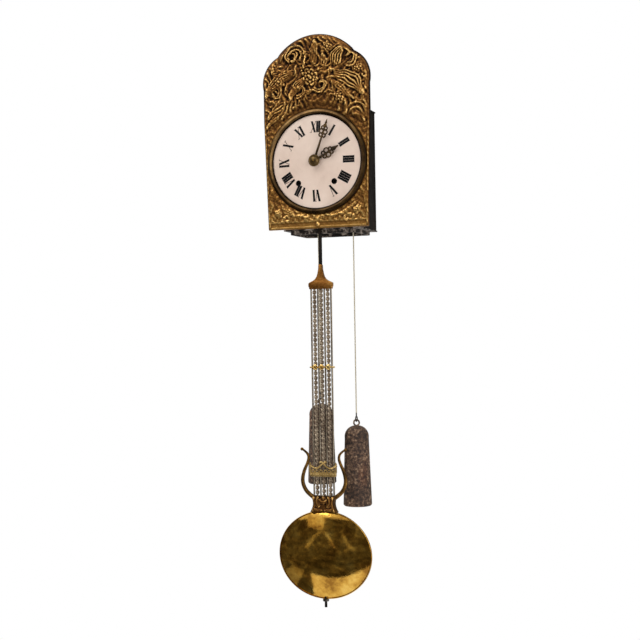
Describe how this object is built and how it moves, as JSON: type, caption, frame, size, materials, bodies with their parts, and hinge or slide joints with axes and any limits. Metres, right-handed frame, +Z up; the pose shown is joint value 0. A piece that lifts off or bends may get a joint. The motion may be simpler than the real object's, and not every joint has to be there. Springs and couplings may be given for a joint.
{
  "type": "comtoise wall clock",
  "caption": "Wall-hung comtoise clock with a stamped brass fronton, enamel dial, iron cage movement, lyre pendulum with an oval bob, and cast-iron weights on cords.",
  "frame": {"origin": "centre of the wall hanger's hole, on the wall's face", "axes": "+Y into the wall, +Z up, +X to the right as seen from the front"},
  "size_m": [0.2766, 0.1966, 1.381],
  "materials": {
    "black_iron": "satin black paint, slightly worn",
    "forged_steel": "dull filed steel",
    "wheel_brass": "satin brass with steel arbors",
    "stamped_brass": "aged stamped brass, dark in its hollows",
    "enamel": "glossy white enamel with black numerals",
    "hand_brass": "dark aged brass",
    "bright_steel": "bright drawn steel",
    "polished_brass": "polished brass",
    "cap_brass": "dull cast brass",
    "bell_metal": "turned bell metal",
    "cast_weight": "rusty cast iron",
    "line_cord": "twisted natural cord"
  },
  "bodies": {
    "case": {"cage_top_plate": "black_iron", "cage_bottom_plate": "black_iron", "case_foot_skirt": "black_iron", "corner_posts": "black_iron", "back_sheet": "black_iron", "wall_hanger": "black_iron", "front_bars": "forged_steel", "back_bars": "forged_steel", "dial_plate": "black_iron", "fronton": "stamped_brass", "enamel_dial": "enamel", "dial_bezel": "stamped_brass", "bell": "bell_metal", "bell_post": "forged_steel", "suspension_cock": "forged_steel"},
    "right_door": {"right_side_door": "black_iron"},
    "left_door": {"left_side_door": "black_iron"},
    "pendulum": {"suspension_spring": "bright_steel", "pendulum_strap": "black_iron", "pendulum_cap": "cap_brass", "plain_rods": "bright_steel", "twisted_rods": "bright_steel", "rod_clip": "polished_brass", "lyre_crossbar": "polished_brass", "lyre_arms": "polished_brass", "lyre_collar": "polished_brass", "bob_front_shell": "polished_brass", "bob_back_shell": "polished_brass", "bob_core": "cast_weight", "bob_rod": "forged_steel", "rating_nut": "polished_brass"},
    "anchor_body": {"anchor": "forged_steel"},
    "minute_body": {"cannon_wheel": "wheel_brass", "minute_hand": "hand_brass", "hand_collet": "hand_brass"},
    "hour_body": {"hour_wheel": "wheel_brass", "hour_hand": "hand_brass"},
    "minute_wheel_body": {"minute_wheel": "wheel_brass"},
    "going_third": {"going_third_wheel": "wheel_brass"},
    "going_second": {"going_second_wheel": "wheel_brass"},
    "centre": {"centre_wheel": "wheel_brass"},
    "escape": {"escape_wheel": "wheel_brass"},
    "going_great": {"going_great_wheel": "wheel_brass"},
    "going_click_body": {"going_click": "forged_steel"},
    "going_barrel": {"going_drum": "wheel_brass", "going_line_winding": "line_cord"},
    "going_weight_body": {"going_weight": "cast_weight", "going_weight_hook": "forged_steel", "going_weight_line": "line_cord"},
    "strike_third": {"strike_third_wheel": "wheel_brass"},
    "strike_pins": {"strike_pin_wheel": "wheel_brass"},
    "fly_body": {"fly": "wheel_brass"},
    "strike_great": {"strike_great_wheel": "wheel_brass"},
    "strike_click_body": {"strike_click": "forged_steel"},
    "strike_barrel": {"strike_drum": "wheel_brass", "strike_line_winding": "line_cord"},
    "strike_weight_body": {"strike_weight": "cast_weight", "strike_weight_hook": "forged_steel", "strike_weight_line": "line_cord"},
    "hammer_body": {"hammer": "forged_steel"}
  },
  "joints": [
    {"name": "right_door_hinge", "type": "hinge", "parent": "case", "child": "right_door", "pos_m": [0.095, -0.018, -0.175], "axis": [0, 0, 1], "range_deg": [0, 95]},
    {"name": "left_door_hinge", "type": "hinge", "parent": "case", "child": "left_door", "pos_m": [-0.095, -0.018, -0.175], "axis": [0, 0, -1], "range_deg": [0, 95]},
    {"name": "pendulum_swing", "type": "hinge", "parent": "case", "child": "pendulum", "pos_m": [0, -0.158, -0.097], "axis": [0, 1, 0], "range_deg": [-3, 3]},
    {"name": "anchor_swing", "type": "hinge", "parent": "case", "child": "anchor_body", "pos_m": [0, -0.091, -0.097], "axis": [0, 1, 0], "range_deg": [-3, 3]},
    {"name": "minute_turn", "type": "hinge", "parent": "case", "child": "minute_body", "pos_m": [0, -0.15, -0.16], "axis": [0, 1, 0], "continuous": true},
    {"name": "hour_turn", "type": "hinge", "parent": "case", "child": "hour_body", "pos_m": [0, -0.15, -0.16], "axis": [0, 1, 0], "continuous": true},
    {"name": "minute_wheel_turn", "type": "hinge", "parent": "case", "child": "minute_wheel_body", "pos_m": [-0.01527, -0.148, -0.14473], "axis": [0, 1, 0], "continuous": true},
    {"name": "going_third_turn", "type": "hinge", "parent": "case", "child": "going_third", "pos_m": [0.0267, -0.103, -0.13839], "axis": [0, 1, 0], "continuous": true},
    {"name": "going_second_turn", "type": "hinge", "parent": "case", "child": "going_second", "pos_m": [0.03, -0.115, -0.167], "axis": [0, 1, 0], "continuous": true},
    {"name": "centre_turn", "type": "hinge", "parent": "case", "child": "centre", "pos_m": [0, -0.122, -0.16], "axis": [0, 1, 0], "continuous": true},
    {"name": "escape_turn", "type": "hinge", "parent": "case", "child": "escape", "pos_m": [0, -0.091, -0.133], "axis": [0, 1, 0], "continuous": true},
    {"name": "going_great_turn", "type": "hinge", "parent": "case", "child": "going_great", "pos_m": [0.046, -0.132, -0.211], "axis": [0, 1, 0], "continuous": true},
    {"name": "going_click_lift", "type": "hinge", "parent": "going_great", "child": "going_click_body", "pos_m": [0.061, -0.1293, -0.1928], "axis": [0, 1, 0], "range_deg": [0, 10], "stiffness_Nm_per_rad": 0.002, "springref_deg": -17.19},
    {"name": "going_weight_fall", "type": "slide", "parent": "case", "child": "going_weight_body", "axis": [0, 0, 1], "range_m": [-0.78, 0.33], "deforming": ["going_weight_line"]},
    {"name": "going_drum_turn", "type": "hinge", "parent": "case", "child": "going_barrel", "pos_m": [0.046, -0.1, -0.211], "axis": [0, 1, 0], "range_deg": [-1150, 2715]},
    {"name": "strike_third_turn", "type": "hinge", "parent": "case", "child": "strike_third", "pos_m": [-0.033, -0.103, -0.13836], "axis": [0, 1, 0], "continuous": true},
    {"name": "strike_pin_wheel_turn", "type": "hinge", "parent": "case", "child": "strike_pins", "pos_m": [-0.03, -0.115, -0.167], "axis": [0, 1, 0], "continuous": true},
    {"name": "fly_turn", "type": "hinge", "parent": "case", "child": "fly_body", "pos_m": [-0.04004, -0.074, -0.11208], "axis": [0, 1, 0], "continuous": true},
    {"name": "strike_great_turn", "type": "hinge", "parent": "case", "child": "strike_great", "pos_m": [-0.046, -0.132, -0.211], "axis": [0, 1, 0], "continuous": true},
    {"name": "strike_click_lift", "type": "hinge", "parent": "strike_great", "child": "strike_click_body", "pos_m": [-0.031, -0.1293, -0.1928], "axis": [0, 1, 0], "range_deg": [0, 10], "stiffness_Nm_per_rad": 0.002, "springref_deg": -17.19},
    {"name": "strike_weight_fall", "type": "slide", "parent": "case", "child": "strike_weight_body", "axis": [0, 0, 1], "range_m": [-0.83, 0.28], "deforming": ["strike_weight_line"]},
    {"name": "strike_drum_turn", "type": "hinge", "parent": "case", "child": "strike_barrel", "pos_m": [-0.046, -0.1, -0.211], "axis": [0, 1, 0], "range_deg": [-975, 2890]},
    {"name": "hammer_swing", "type": "hinge", "parent": "case", "child": "hammer_body", "pos_m": [-0.058, -0.095, -0.152], "axis": [0, -1, 0], "range_deg": [0, 8], "stiffness_Nm_per_rad": 0.05, "springref_deg": -28.65}
  ],
  "couplings": [
    {"joint": "anchor_swing", "follows": "pendulum_swing", "ratio": 1},
    {"joint": "hour_turn", "follows": "minute_turn", "ratio": 0.083333},
    {"joint": "minute_wheel_turn", "follows": "minute_turn", "ratio": -0.33333},
    {"joint": "going_second_turn", "follows": "going_third_turn", "ratio": -0.125},
    {"joint": "centre_turn", "follows": "going_third_turn", "ratio": 0.125},
    {"joint": "escape_turn", "follows": "going_third_turn", "ratio": -7.5},
    {"joint": "going_great_turn", "follows": "going_third_turn", "ratio": 0.010417},
    {"joint": "going_drum_turn", "follows": "going_weight_fall", "rad_per_m": -60.606},
    {"joint": "strike_pin_wheel_turn", "follows": "strike_third_turn", "ratio": -0.125},
    {"joint": "fly_turn", "follows": "strike_third_turn", "ratio": -7.5},
    {"joint": "strike_great_turn", "follows": "strike_third_turn", "ratio": 0.010417},
    {"joint": "strike_drum_turn", "follows": "strike_weight_fall", "rad_per_m": -60.606}
  ]
}
